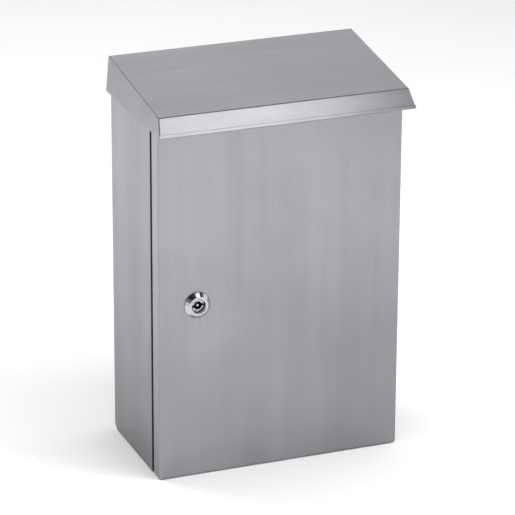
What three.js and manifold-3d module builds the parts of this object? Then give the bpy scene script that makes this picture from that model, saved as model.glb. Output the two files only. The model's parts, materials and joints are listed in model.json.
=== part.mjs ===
import * as THREE from 'three';
import Module from 'manifold-3d';

// Wall-mounted stainless switchboard cabinet with a sloping rain roof.
// Millimetres. X to the right, Y into the wall, Z up. The wall face is y = 0, the door faces -Y.
// Heights are given from the floor of the cabinet; the last lines move the origin to the
// middle of the wall face.

const wasm = await Module();
wasm.setup();

// ---- cabinet shell ----
const WIDTH = 280;
const BODY_HEIGHT = 405;
const DEPTH = 150;
const SHEET = 1.5;
const GAP = 0.3;
const REAR_RADIUS = 10;
const BODY_FRONT = -125.5;
const ORIGIN_HEIGHT = 200;
const WALL_HOLE_X = 105;
const WALL_HOLE_HEIGHTS = [32, 368];
const WALL_HOLE_RADIUS = 4.25;

// ---- front frame: flange and gutter rim ----
const RIM_HALF_WIDTH = 118.2;
const RIM_BOTTOM = 21.8;
const RIM_TOP = 378.2;
const RIM_FRONT = -141.2;
const RIM_RADIUS = 3;

// ---- rain roof ----
const ROOF_TOP_HALF = 142;
const ROOF_LOW_HALF = 145.5;
const ROOF_REAR_Y = -0.5;
const ROOF_REAR_Z = 440;
const ROOF_FOLD_Y = -159.5;
const ROOF_FOLD_Z = 419.5;
const ROOF_LIP_Y = -172.5;
const ROOF_LIP_Z = 400.5;
const ROOF_REAR_FLANGE = 18;
const HEM_HEIGHT = 3.5;
const HEM_STEP = 0.8;
const ROOF_SLOPE = (ROOF_REAR_Z - ROOF_FOLD_Z) / (ROOF_REAR_Y - ROOF_FOLD_Y);

// ---- strips and screws that hold the roof ----
const CARRIERS = [{ name: 'front', y: -112 }, { name: 'rear', y: -34 }];
const CARRIER_HALF = 120;
const CARRIER_DEPTH = 22;
const CARRIER_FLANGE = 12;
const CARRIER_SCREW_X = 100;
const CARRIER_SCREW_HOLE = 2.6;

// ---- cable entry ----
const GLAND_HALF_X = 80;
const GLAND_HALF_Y = 30;
const GLAND_MID_Y = -64;
const GLAND_MARGIN = 10;
const GROMMET_X = 38;
const GROMMET_HOLE = 16.3;

// ---- door ----
const DOOR_TOP = 397.5;
const DOOR_BACK = -131.5;
const DOOR_FOLD_RADIUS = 3;
const SEAL_WIDTH = 12;
const SEAL_BACK = -141.5;

// ---- hinges ----
const HINGE_X = 133.5;
const HINGE_Y = -140;
const HINGE_HEIGHTS = { lower: 70, upper: 330 };
const EYE_RADIUS = 4;
const PIN_RADIUS = 2.25;
const PIN_BORE = 2.35;
const EYE_HALF = 7;
const LEAF_HALF = 17;
const ARM_X = 119.5;
const ARM_THICK = 2;
const ARM_FOOT = 10;
const ARM_HALF = 20;

// ---- lock ----
const LOCK_X = -96;
const LOCK_Z = 200;
const LOCK_BARREL = 11;
const LOCK_COLLAR = 15;
const LOCK_FACE = 11;
const LOCK_HEIGHT = 5;
const LOCK_BORE = 6.5;
const LOCK_RECESS = 8;
const LOCK_SEAT = -DEPTH - GAP;
const LOCK_NUT_FLATS = 24;
const LOCK_NUT_HEIGHT = 6;
const INSERT_FACE = LOCK_SEAT - 1.2;
const CAM_FRONT = -123.4;
const CAM_BACK = -120.9;
const CAM_REACH = 34;
const CAM_HALF = 6.5;
const SOCKET_DEPTH = 9;
const SOCKET_TILT = THREE.MathUtils.degToRad(8);

// ---- inside ----
const PLATE_FRONT = -20;
const PLATE_THICK = 2;
const PLATE_BACK = PLATE_FRONT + PLATE_THICK;
const PLATE_HALF = 114;
const PLATE_LOW = 45;
const PLATE_HIGH = 355;
const STUD_X = 104;
const STUD_HEIGHTS = [57, 343];
const STUD_COLLAR = 6;
const STUD_THREAD = 2.9;
const STUD_LENGTH = 13;
const EARTH_STUD = { x: STUD_X, z: STUD_HEIGHTS[0] };
const LUG_THICK = 1.2;
const RAIL_HALF = 105;
const RAIL_HEIGHTS = { upper: 262, lower: 120 };

// ---- rail-mounted devices ----
const MODULE_WIDTH = 17.6;
const DEVICE_GAP = 0.4;
const DEVICE_START = -72;
const NOSE_DEPTH = 68;
const SHOULDER_DEPTH = 52;
const TOGGLE_DEPTH = 60;
const TOGGLE_RADIUS = 8;
const TOGGLE_REST = THREE.MathUtils.degToRad(-36);
const TERMINAL_HEIGHT = 42.5;
const TERMINAL_HALF = 2.6;
const TERMINAL_DEPTHS = [30, 38];
const TERMINAL_SINK = 9;
const TERMINAL_SCREW = { height: 33, radius: 2.9, sink: 5 };
const WINDOW_HALF_HEIGHT = 9.5;
const DEVICE_PROFILE = [
  [NOSE_DEPTH, 22.5], [SHOULDER_DEPTH, 24], [SHOULDER_DEPTH, TERMINAL_HEIGHT], [8.1, TERMINAL_HEIGHT],
  [8.1, 30], [4, 28], [4, 15], [6.4, 15], [6.4, 17.9], [8.1, 17.9],
];
const TEST_BUTTON = { x: -10, z: -12.5, radius: 3.2, proud: 1.8, sink: 6 };

// ---- neutral and earth bars, and their wires ----
const NEUTRAL_X = -50;
const EARTH_X = 50;
const BAR_LENGTH = 78;
const BAR_SCREWS = 7;
const BAR_PITCH = 10.5;
const BAR_DEPTHS = [26, 35];
const BAR_HALF_HEIGHT = 3.4;
const WIRE_RADIUS = 1.5;
const WIRE_HOLE = 1.8;

// ---- materials ----
function metal(color, roughness, metalness = 1) {
  return new THREE.MeshStandardMaterial({ color, roughness, metalness });
}

function plastic(color, roughness = 0.5) {
  return new THREE.MeshStandardMaterial({ color, roughness, metalness: 0 });
}

const stainless = () => metal(0xa9abad, 0.38);
const chrome = () => metal(0xd5d7da, 0.12);
const zinc = () => metal(0xb4b9bd, 0.45);
const brass = () => metal(0xc9a552, 0.35);
const copper = () => metal(0xb8734a, 0.35);
const foam = () => plastic(0x2c2c2e, 0.95);
const rubber = () => plastic(0x3a3b3d, 0.85);
const greyPlastic = () => plastic(0xdcdddb, 0.5);
const blackPlastic = () => plastic(0x202224, 0.45);
const bluePlastic = () => plastic(0x2c5fa8, 0.5);
const greenPlastic = () => plastic(0x3f8f4a, 0.5);

// ---- geometry helpers ----
function asSolid(source) {
  const geometry = source.clone();
  geometry.deleteAttribute('normal');
  geometry.deleteAttribute('uv');
  const merged = mergePoints(geometry);
  return new wasm.Manifold(new wasm.Mesh({
    numProp: 3,
    vertProperties: merged.points,
    triVerts: merged.triangles,
  }));
}

// Joins the corners that share a place, so that the surface is closed.
function mergePoints(geometry) {
  const position = geometry.getAttribute('position');
  const count = geometry.index ? geometry.index.count : position.count;
  const known = new Map();
  const points = [];
  const triangles = [];
  for (let i = 0; i < count; i += 1) {
    const source = geometry.index ? geometry.index.getX(i) : i;
    const xyz = [position.getX(source), position.getY(source), position.getZ(source)];
    const key = xyz.map((value) => Math.round(value * 1e4)).join(',');
    if (!known.has(key)) {
      known.set(key, points.length / 3);
      points.push(...xyz);
    }
    triangles.push(known.get(key));
  }
  const whole = [];
  for (let i = 0; i < triangles.length; i += 3) {
    const [a, b, c] = triangles.slice(i, i + 3);
    if (a !== b && b !== c && c !== a) whole.push(a, b, c);
  }
  return { points: new Float32Array(points), triangles: new Uint32Array(whole) };
}

function asGeometry(solid) {
  const mesh = solid.getMesh();
  const stride = mesh.numProp;
  const points = new Float32Array(mesh.triVerts.length * 3);
  mesh.triVerts.forEach((vertex, i) => {
    for (let axis = 0; axis < 3; axis += 1) {
      points[i * 3 + axis] = mesh.vertProperties[vertex * stride + axis];
    }
  });
  const geometry = new THREE.BufferGeometry();
  geometry.setAttribute('position', new THREE.BufferAttribute(points, 3));
  geometry.computeVertexNormals();
  return geometry;
}

function block(x0, x1, y0, y1, z0, z1) {
  const geometry = new THREE.BoxGeometry(x1 - x0, y1 - y0, z1 - z0);
  geometry.translate((x0 + x1) / 2, (y0 + y1) / 2, (z0 + z1) / 2);
  return asSolid(geometry);
}

function shapeOf(points) {
  return new THREE.Shape(points.map(([a, b]) => new THREE.Vector2(a, b)));
}

// A rectangle with rounded corners; radii run from the low-low corner anticlockwise.
function roundedRectangle(a0, a1, b0, b1, radii) {
  const [ll, hl, hh, lh] = radii;
  const shape = new THREE.Shape();
  shape.moveTo(a0 + ll, b0);
  shape.lineTo(a1 - hl, b0);
  if (hl) shape.absarc(a1 - hl, b0 + hl, hl, -Math.PI / 2, 0, false);
  shape.lineTo(a1, b1 - hh);
  if (hh) shape.absarc(a1 - hh, b1 - hh, hh, 0, Math.PI / 2, false);
  shape.lineTo(a0 + lh, b1);
  if (lh) shape.absarc(a0 + lh, b1 - lh, lh, Math.PI / 2, Math.PI, false);
  shape.lineTo(a0, b0 + ll);
  if (ll) shape.absarc(a0 + ll, b0 + ll, ll, Math.PI, 1.5 * Math.PI, false);
  return shape;
}

const EXTRUDE_BASES = {
  x: [new THREE.Vector3(0, 1, 0), new THREE.Vector3(0, 0, 1), new THREE.Vector3(1, 0, 0)],
  y: [new THREE.Vector3(0, 0, 1), new THREE.Vector3(1, 0, 0), new THREE.Vector3(0, 1, 0)],
  z: [new THREE.Vector3(1, 0, 0), new THREE.Vector3(0, 1, 0), new THREE.Vector3(0, 0, 1)],
};

// Extrudes a shape along an axis. Its two coordinates are (y, z), (z, x) or (x, y).
function extrude(shape, axis, from, to, curveSegments = 8) {
  const geometry = new THREE.ExtrudeGeometry(shape, {
    depth: to - from,
    bevelEnabled: false,
    curveSegments,
  });
  geometry.translate(0, 0, from);
  geometry.applyMatrix4(new THREE.Matrix4().makeBasis(...EXTRUDE_BASES[axis]));
  return asSolid(geometry);
}

// A closed lathe profile of [radius, height] points, turned about an axis.
function turned(profile, axis, segments = 40) {
  const points = profile.map(([radius, height]) => new THREE.Vector2(radius, height));
  const geometry = new THREE.LatheGeometry(points, segments);
  if (axis === 'z') geometry.rotateX(Math.PI / 2);
  if (axis === 'x') geometry.rotateZ(-Math.PI / 2);
  return asSolid(geometry);
}

function rod(radius, axis, from, to, segments = 32) {
  return turned([[0, from], [radius, from], [radius, to], [0, to]], axis, segments);
}

function hexPrism(acrossFlats, axis, from, to) {
  return rod(acrossFlats / Math.sqrt(3), axis, from, to, 6);
}

// A hollow form from eight corners: the four low ones, then the four high ones.
function eightCorners(low, high) {
  const corners = [...low, ...high];
  const faces = [
    [0, 3, 2], [0, 2, 1], [4, 5, 6], [4, 6, 7], [0, 1, 5], [0, 5, 4],
    [1, 2, 6], [1, 6, 5], [2, 3, 7], [2, 7, 6], [3, 0, 4], [3, 4, 7],
  ];
  const geometry = new THREE.BufferGeometry();
  geometry.setAttribute('position', new THREE.Float32BufferAttribute(corners.flat(), 3));
  geometry.setIndex(faces.flat());
  return asSolid(geometry);
}

function unite(first, ...others) {
  return others.reduce((solid, other) => solid.add(other), first);
}

function cut(first, ...others) {
  return others.reduce((solid, other) => solid.subtract(other), first);
}

const root = new THREE.Group();
root.name = 'switchboard_cabinet';
const cabinet = new THREE.Group();
cabinet.position.z = -ORIGIN_HEIGHT;
root.add(cabinet);

// Adds one named sub-part, placed at a point.
function place(name, solid, material, x = 0, y = 0, z = 0) {
  const mesh = new THREE.Mesh(asGeometry(solid), material);
  mesh.name = name;
  mesh.position.set(x, y, z);
  cabinet.add(mesh);
  return mesh;
}

// ---- shell ----
function bodySheet() {
  const half = WIDTH / 2 - SHEET - GAP;
  const outer = roundedRectangle(BODY_FRONT, 0, 0, BODY_HEIGHT, [0, REAR_RADIUS, REAR_RADIUS, 0]);
  const innerRadius = REAR_RADIUS - SHEET;
  const inner = roundedRectangle(BODY_FRONT - 1, -SHEET, SHEET, BODY_HEIGHT - SHEET,
    [0, innerRadius, innerRadius, 0]);
  const shell = extrude(outer, 'x', -half, half).subtract(extrude(inner, 'x', -half - 1, half + 1));
  const holes = [block(-GLAND_HALF_X, GLAND_HALF_X, GLAND_MID_Y - GLAND_HALF_Y,
    GLAND_MID_Y + GLAND_HALF_Y, -1, SHEET + 1)];
  for (const x of [-WALL_HOLE_X, WALL_HOLE_X]) {
    for (const z of WALL_HOLE_HEIGHTS) {
      holes.push(rod(WALL_HOLE_RADIUS, 'y', -SHEET - 1, 1, 24).translate([x, 0, z]));
    }
  }
  for (const x of [-CARRIER_SCREW_X, CARRIER_SCREW_X]) {
    for (const carrier of CARRIERS) {
      holes.push(rod(CARRIER_SCREW_HOLE, 'z', BODY_HEIGHT - 3, BODY_HEIGHT + 1, 20)
        .translate([x, carrier.y, 0]));
    }
  }
  return cut(shell, ...holes);
}

function sidePanel() {
  const outline = roundedRectangle(BODY_FRONT, 0, 0, BODY_HEIGHT, [0, REAR_RADIUS, REAR_RADIUS, 0]);
  return extrude(outline, 'x', -SHEET / 2, SHEET / 2);
}

function frameRing(halfWidth, low, high, radius, from, to) {
  return extrude(roundedRectangle(low, high, -halfWidth, halfWidth, Array(4).fill(radius)), 'y', from, to);
}

function frontFrame() {
  const half = WIDTH / 2 - SHEET - GAP;
  const low = SHEET + GAP;
  const flange = block(-half, half, BODY_FRONT, BODY_FRONT + SHEET, low, BODY_HEIGHT - low);
  const rim = frameRing(RIM_HALF_WIDTH, RIM_BOTTOM, RIM_TOP, RIM_RADIUS, RIM_FRONT, BODY_FRONT + 0.5);
  const opening = frameRing(RIM_HALF_WIDTH - SHEET, RIM_BOTTOM + SHEET, RIM_TOP - SHEET,
    RIM_RADIUS - SHEET, RIM_FRONT - 1, BODY_FRONT + SHEET + 1);
  return flange.add(rim).subtract(opening);
}

// ---- roof ----
function roofForm(inset, dropBelow) {
  const top = ROOF_TOP_HALF - inset;
  const low = ROOF_LOW_HALF - inset;
  const rear = ROOF_REAR_Y - inset;
  const fold = ROOF_FOLD_Y + inset;
  const lip = ROOF_LIP_Y + inset * 1.3;
  const z = ROOF_LIP_Z - dropBelow;
  const spread = dropBelow * 0.1;
  const run = dropBelow * ((ROOF_FOLD_Y - ROOF_LIP_Y) / (ROOF_FOLD_Z - ROOF_LIP_Z));
  return eightCorners(
    [[-low - spread, lip - run, z], [low + spread, lip - run, z], [low + spread, rear, z],
      [-low - spread, rear, z]],
    [[-top, fold, ROOF_FOLD_Z - inset], [top, fold, ROOF_FOLD_Z - inset],
      [top, rear, ROOF_REAR_Z - inset], [-top, rear, ROOF_REAR_Z - inset]],
  );
}

function roofHood() {
  const outer = roofForm(0, 0);
  const inner = roofForm(SHEET, 2);
  const rearGap = block(-ROOF_TOP_HALF + 1, ROOF_TOP_HALF - 1, -4, 1, ROOF_LIP_Z - 1,
    ROOF_REAR_Z - ROOF_REAR_FLANGE);
  const slope = (ROOF_FOLD_Y - ROOF_LIP_Y) / (ROOF_FOLD_Z - ROOF_LIP_Z);
  const hemTop = ROOF_LIP_Z + HEM_HEIGHT;
  const y = ROOF_LIP_Y;
  const topY = y + HEM_HEIGHT * slope;
  const hemShape = shapeOf([
    [y + 0.5, ROOF_LIP_Z], [topY + 0.5, hemTop], [topY - HEM_STEP, hemTop], [y - HEM_STEP, ROOF_LIP_Z],
  ]);
  const hem = extrude(hemShape, 'x', -ROOF_LOW_HALF + 0.4, ROOF_LOW_HALF - 0.4);
  return unite(cut(outer, inner, rearGap), hem);
}

// A Z-shaped strip: foot on the flat top, web, and a flange that lies along the roof slope.
function roofCarrier(middle) {
  const base = BODY_HEIGHT + GAP;
  const rear = middle + CARRIER_DEPTH / 2;
  const front = middle - CARRIER_DEPTH / 2;
  const under = (y) => ROOF_FOLD_Z + (y - ROOF_FOLD_Y) * ROOF_SLOPE - SHEET - 2 * GAP;
  const web = rear - SHEET;
  const far = rear + CARRIER_FLANGE;
  const outline = shapeOf([
    [front, base], [rear, base], [rear, under(rear) - SHEET], [far, under(far) - SHEET],
    [far, under(far)], [web, under(web)], [web, base + SHEET], [front, base + SHEET],
  ]);
  const holes = [-CARRIER_SCREW_X, CARRIER_SCREW_X].map((x) => (
    rod(CARRIER_SCREW_HOLE, 'z', base - 1, base + SHEET + 1, 20).translate([x, middle, 0])));
  return cut(extrude(outline, 'x', -CARRIER_HALF, CARRIER_HALF), ...holes);
}

// Hex-head screw that comes up through the flat top; its head is inside the cabinet.
function roofScrew() {
  const headTop = BODY_HEIGHT - SHEET - GAP;
  const shank = rod(2.3, 'z', headTop - 0.5, BODY_HEIGHT + 6, 20);
  const washer = rod(6, 'z', headTop - 1.2, headTop, 28);
  const head = hexPrism(8, 'z', headTop - 5.2, headTop - 1);
  return unite(washer, head, shank);
}

// ---- cable entry ----
function glandPlate() {
  const low = SHEET + GAP;
  const plate = extrude(roundedRectangle(-GLAND_HALF_X - GLAND_MARGIN, GLAND_HALF_X + GLAND_MARGIN,
    GLAND_MID_Y - GLAND_HALF_Y - GLAND_MARGIN, GLAND_MID_Y + GLAND_HALF_Y + GLAND_MARGIN,
    [4, 4, 4, 4]), 'z', low, low + SHEET);
  const holes = [-GROMMET_X, GROMMET_X].map((x) => (
    rod(GROMMET_HOLE, 'z', 0, 6, 40).translate([x, GLAND_MID_Y, 0])));
  return cut(plate, ...holes);
}

// A ring with a groove for the plate and a thin stepped membrane across it.
function grommet() {
  const low = SHEET + GAP;
  const high = low + SHEET;
  return turned([
    [0, 2.0], [5, 2.0], [6.5, 0.5], [19, 0.5], [19, low - GAP], [16, low - GAP], [16, high + GAP],
    [19, high + GAP], [18, 7], [14, 7], [11, 3.2], [5, 3.2], [4, 3.0], [0, 3.0],
  ], 'z');
}

// ---- door ----
function doorPan() {
  const half = WIDTH / 2;
  const r = DOOR_FOLD_RADIUS;
  const plan = (inset) => roundedRectangle(-half + inset, half - inset, -DEPTH + inset,
    DOOR_BACK + inset, [r - inset, r - inset, 0, 0]);
  const section = (inset) => roundedRectangle(-DEPTH + inset, DOOR_BACK + inset, inset,
    DOOR_TOP - inset, [r - inset, 0, 0, r - inset]);
  const face = roundedRectangle(0, DOOR_TOP, -half, half, [r, r, r, r]);
  const outer = extrude(plan(0), 'z', 0, DOOR_TOP)
    .intersect(extrude(section(0), 'x', -half, half))
    .intersect(extrude(face, 'y', -DEPTH, DOOR_BACK));
  const inner = extrude(plan(SHEET), 'z', SHEET, DOOR_TOP - SHEET)
    .intersect(extrude(section(SHEET), 'x', -half, half));
  const lockHole = rod(LOCK_BARREL + GAP, 'y', -DEPTH - 1, -DEPTH + SHEET + 1, 40)
    .translate([LOCK_X, 0, LOCK_Z]);
  return cut(outer, inner, lockHole);
}

function doorSeal() {
  const mid = SHEET / 2;
  const reach = SEAL_WIDTH / 2;
  const front = -DEPTH + SHEET + GAP;
  const outer = frameRing(RIM_HALF_WIDTH - mid + reach, RIM_BOTTOM + mid - reach,
    RIM_TOP - mid + reach, RIM_RADIUS + reach, front, SEAL_BACK);
  const inner = frameRing(RIM_HALF_WIDTH - mid - reach, RIM_BOTTOM + mid + reach,
    RIM_TOP - mid - reach, 1, front - 1, SEAL_BACK + 1);
  return outer.subtract(inner);
}

// ---- hinges: heights are measured from the middle of each hinge ----
function hingeArm() {
  const footFront = BODY_FRONT - GAP - ARM_THICK;
  const foot = block(ARM_X, ARM_X + ARM_FOOT, footFront, BODY_FRONT - GAP, -ARM_HALF, ARM_HALF);
  const riser = block(ARM_X, ARM_X + ARM_THICK, HINGE_Y - 1, BODY_FRONT - GAP, -ARM_HALF,
    ARM_HALF);
  const arm = block(ARM_X, HINGE_X - 1, HINGE_Y - 1, HINGE_Y - 1 + ARM_THICK, -EYE_HALF, EYE_HALF);
  const eye = rod(EYE_RADIUS, 'z', -EYE_HALF, EYE_HALF).translate([HINGE_X, HINGE_Y, 0]);
  const bore = rod(PIN_BORE, 'z', -EYE_HALF - 1, EYE_HALF + 1).translate([HINGE_X, HINGE_Y, 0]);
  return unite(foot, riser, arm, eye).subtract(bore);
}

function hingeLeaf() {
  const plateFront = -DEPTH + SHEET + GAP;
  const plate = block(HINGE_X - 9, HINGE_X + 4, plateFront, plateFront + ARM_THICK, -LEAF_HALF, LEAF_HALF);
  const parts = [];
  for (const side of [-1, 1]) {
    const near = EYE_HALF + 0.4;
    const [low, high] = side > 0 ? [near, LEAF_HALF] : [-LEAF_HALF, -near];
    parts.push(rod(EYE_RADIUS, 'z', low, high).translate([HINGE_X, HINGE_Y, 0]));
    parts.push(block(HINGE_X - 2, HINGE_X + 2, plateFront + 1, HINGE_Y - 1, low, high));
  }
  const bore = rod(PIN_BORE, 'z', -LEAF_HALF - 1, LEAF_HALF + 1).translate([HINGE_X, HINGE_Y, 0]);
  return unite(plate, ...parts).subtract(bore);
}

function hingePin() {
  const head = LEAF_HALF + GAP;
  return turned([
    [0, -LEAF_HALF - 2], [1.6, -LEAF_HALF - 2], [PIN_RADIUS, -LEAF_HALF - 1.2], [PIN_RADIUS, head],
    [3.4, head], [3.4, head + 1], [2.6, head + 1.8], [0, head + 1.8],
  ], 'z', 32);
}

// ---- lock: Y is given from the cabinet's wall face ----
function lockHousing() {
  const floor = LOCK_SEAT + 0.8;
  const top = LOCK_SEAT - LOCK_HEIGHT;
  return turned([
    [LOCK_BORE, floor], [LOCK_RECESS, floor], [LOCK_RECESS, top + 0.6], [LOCK_RECESS + 0.6, top],
    [LOCK_FACE, top], [LOCK_COLLAR - 0.5, LOCK_SEAT - 1.2], [LOCK_COLLAR, LOCK_SEAT - 0.8],
    [LOCK_COLLAR, LOCK_SEAT], [LOCK_BARREL, LOCK_SEAT], [LOCK_BARREL, DOOR_BACK], [LOCK_BORE, DOOR_BACK],
    [LOCK_BORE, floor],
  ], 'y', 48);
}

function lockInsert() {
  const shaft = LOCK_BORE - GAP;
  const squareFrom = CAM_FRONT - GAP;
  const body = turned([
    [0, INSERT_FACE], [LOCK_RECESS - 1, INSERT_FACE], [LOCK_RECESS - 0.4, INSERT_FACE + 0.6],
    [LOCK_RECESS - 0.4, LOCK_SEAT + 0.5], [shaft, LOCK_SEAT + 0.5], [shaft, squareFrom], [0, squareFrom],
  ], 'y', 40);
  const square = block(-3.5, 3.5, squareFrom - 1, CAM_BACK - 0.2, -3.5, 3.5);
  const socket = rod(4.5, 'y', INSERT_FACE - 1, INSERT_FACE + SOCKET_DEPTH);
  const wings = block(-5.3, 5.3, INSERT_FACE - 1, INSERT_FACE + SOCKET_DEPTH, -1.2, 1.2)
    .rotate([0, -THREE.MathUtils.radToDeg(SOCKET_TILT), 0]);
  const pin = rod(1.5, 'y', INSERT_FACE + 0.4, INSERT_FACE + SOCKET_DEPTH + 1, 20);
  const screwHole = rod(2.5, 'y', CAM_BACK - 12, CAM_BACK + 1, 20);
  return unite(cut(body.add(square), socket, wings, screwHole), pin);
}

function lockNut() {
  const front = -DEPTH + SHEET + GAP;
  const back = front + LOCK_NUT_HEIGHT;
  const hole = rod(LOCK_BARREL + GAP, 'y', front - 1, back + 1, 40);
  return hexPrism(LOCK_NUT_FLATS, 'y', front, back).subtract(hole);
}

// The cam hangs down when it is unlocked and turns behind the left flange to lock.
function camPlate() {
  const boss = rod(9, 'y', CAM_FRONT, CAM_BACK, 40);
  const outline = roundedRectangle(-CAM_REACH, 0, -CAM_HALF, CAM_HALF, [4, 0, 0, 4]);
  const tongue = extrude(outline, 'y', CAM_FRONT, CAM_BACK);
  const hole = block(-3.8, 3.8, CAM_FRONT - 1, CAM_BACK + 1, -3.8, 3.8);
  return unite(boss, tongue).subtract(hole);
}

function camScrew() {
  const seat = CAM_BACK + GAP;
  const head = turned([[0, seat], [5, seat], [5, seat + 1.6], [3.6, seat + 3], [0, seat + 3]], 'y', 28);
  const shank = rod(2.2, 'y', seat - 11, seat + 0.5, 20);
  const slot = block(-6, 6, seat + 1.9, seat + 4, -0.6, 0.6);
  return unite(head, shank).subtract(slot);
}

// ---- mounting plate ----
function mountingPlate() {
  const outline = roundedRectangle(PLATE_LOW, PLATE_HIGH, -PLATE_HALF, PLATE_HALF, [5, 5, 5, 5]);
  const holes = [];
  for (const x of [-STUD_X, STUD_X]) {
    for (const z of STUD_HEIGHTS) {
      holes.push(rod(STUD_THREAD + 0.4, 'y', PLATE_FRONT - 1, PLATE_BACK + 1, 24).translate([x, 0, z]));
    }
  }
  return cut(extrude(outline, 'y', PLATE_FRONT, PLATE_BACK), ...holes);
}

function plateStud() {
  const tip = PLATE_FRONT - STUD_LENGTH;
  const collar = rod(STUD_COLLAR, 'y', PLATE_BACK + GAP, -SHEET - GAP, 28);
  const thread = turned([
    [0, tip], [STUD_THREAD - 0.7, tip], [STUD_THREAD, tip + 0.7],
    [STUD_THREAD, PLATE_BACK + 1], [0, PLATE_BACK + 1],
  ], 'y', 24);
  return collar.add(thread);
}

// Flanged nut; seat is the height of the surface that it clamps.
function plateNut(seat) {
  const flange = turned([
    [0, seat - 1.4], [5.5, seat - 1.4], [7, seat - 0.8], [7, seat], [0, seat],
  ], 'y', 32);
  const hex = hexPrism(10, 'y', seat - 6, seat - 1);
  return flange.add(hex).subtract(rod(STUD_THREAD + 0.2, 'y', seat - 7, seat + 1, 24));
}

// ---- top-hat rail: depth is measured forward from the mounting plate ----
const depthY = (depth) => PLATE_FRONT - depth;

function profileShape(points) {
  return shapeOf(points.map(([depth, height]) => [depthY(depth), height]));
}

function topHatRail() {
  const half = [[6.8, 17.5], [7.8, 17.5], [7.8, 12.5], [1.3, 12.5]];
  const back = [[0.3, 13.5], [6.8, 13.5]];
  const mirror = (points) => points.map(([depth, height]) => [depth, -height]).reverse();
  const outline = [...half, ...mirror(half), ...mirror(back), ...back];
  const rail = extrude(profileShape(outline), 'x', -RAIL_HALF, RAIL_HALF);
  const slots = [];
  for (let i = -3; i <= 3; i += 1) {
    slots.push(extrude(roundedRectangle(-8, 8, i * 28 - 3, i * 28 + 3, [2.9, 2.9, 2.9, 2.9]), 'y',
      depthY(3), depthY(-1), 3));
  }
  return cut(rail, ...slots);
}

// ---- rail-mounted devices ----
function devicePole(x) {
  const [near, far] = TERMINAL_DEPTHS;
  const tools = [];
  for (const side of [-1, 1]) {
    const { height, radius, sink } = TERMINAL_SCREW;
    const screw = rod(radius, 'y', depthY(SHOULDER_DEPTH + 1), depthY(SHOULDER_DEPTH - sink), 20);
    tools.push(screw.translate([x, 0, side * height]));
    const ends = [TERMINAL_HEIGHT - TERMINAL_SINK, TERMINAL_HEIGHT + 1].map((value) => value * side);
    ends.sort((a, b) => a - b);
    tools.push(block(x - TERMINAL_HALF, x + TERMINAL_HALF, depthY(far), depthY(near), ...ends));
  }
  return tools;
}

// A device housing of whole modules with a window for its toggle.
function deviceBody(modules, toggleX, toggleHalf) {
  const width = deviceWidth(modules);
  const mirrored = DEVICE_PROFILE.map(([depth, height]) => [depth, -height]).reverse();
  const outline = profileShape([...DEVICE_PROFILE, ...mirrored]);
  const housing = extrude(outline, 'x', -width / 2, width / 2);
  const window = block(toggleX - toggleHalf - 0.6, toggleX + toggleHalf + 0.6, depthY(NOSE_DEPTH + 1),
    depthY(TOGGLE_DEPTH - TOGGLE_RADIUS - 1.5), -WINDOW_HALF_HEIGHT, WINDOW_HALF_HEIGHT);
  const poles = [];
  for (let i = 0; i < modules; i += 1) {
    poles.push(...devicePole((i - (modules - 1) / 2) * MODULE_WIDTH));
  }
  return cut(housing, window, ...poles);
}

function deviceWidth(modules) {
  return modules * MODULE_WIDTH - DEVICE_GAP;
}

// The toggle's drum turns in the window; the lever points down and forward when it is off.
function toggle(halfWidth) {
  const pivotY = depthY(TOGGLE_DEPTH);
  const drum = rod(TOGGLE_RADIUS, 'x', -halfWidth, halfWidth, 36).translate([0, pivotY, 0]);
  const lever = extrude(shapeOf([
    [pivotY - 19, -1.7], [pivotY - 18, -2.2], [pivotY - 2, -2.6], [pivotY - 2, 2.6], [pivotY - 18, 2.2],
    [pivotY - 19, 1.7],
  ]), 'x', -halfWidth + 0.4, halfWidth - 0.4);
  const tilt = -THREE.MathUtils.radToDeg(TOGGLE_REST);
  return drum.add(lever).translate([0, -pivotY, 0]).rotate([tilt, 0, 0]).translate([0, pivotY, 0]);
}

function testButton() {
  const front = NOSE_DEPTH + TEST_BUTTON.proud;
  return turned([
    [0, depthY(front)], [TEST_BUTTON.radius - 0.5, depthY(front)],
    [TEST_BUTTON.radius, depthY(front - 0.5)], [TEST_BUTTON.radius, depthY(NOSE_DEPTH - TEST_BUTTON.sink)],
    [0, depthY(NOSE_DEPTH - TEST_BUTTON.sink)],
  ], 'y', 28);
}

// A bar with teeth that stand in the terminals of the devices. side is +1 above and -1 below.
function comb(teeth, side, overhang) {
  const [near, far] = TERMINAL_DEPTHS;
  const level = (value) => value * side;
  const span = (a, b) => [level(a), level(b)].sort((p, q) => p - q);
  const left = Math.min(...teeth) - overhang;
  const right = Math.max(...teeth) + overhang;
  const bar = block(left, right, depthY(far - 0.8), depthY(near + 0.8), ...span(TERMINAL_HEIGHT + 2,
    TERMINAL_HEIGHT + 13));
  const prongs = teeth.map((x) => block(x - 2, x + 2, depthY(far - 3.2), depthY(near + 3.2),
    ...span(TERMINAL_HEIGHT - TERMINAL_SINK + 1, TERMINAL_HEIGHT + 2.5)));
  return unite(bar, ...prongs);
}

// ---- neutral and earth bars on the lower rail ----
function barScrewX(index) {
  return (index - (BAR_SCREWS - 1) / 2) * BAR_PITCH;
}

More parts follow.
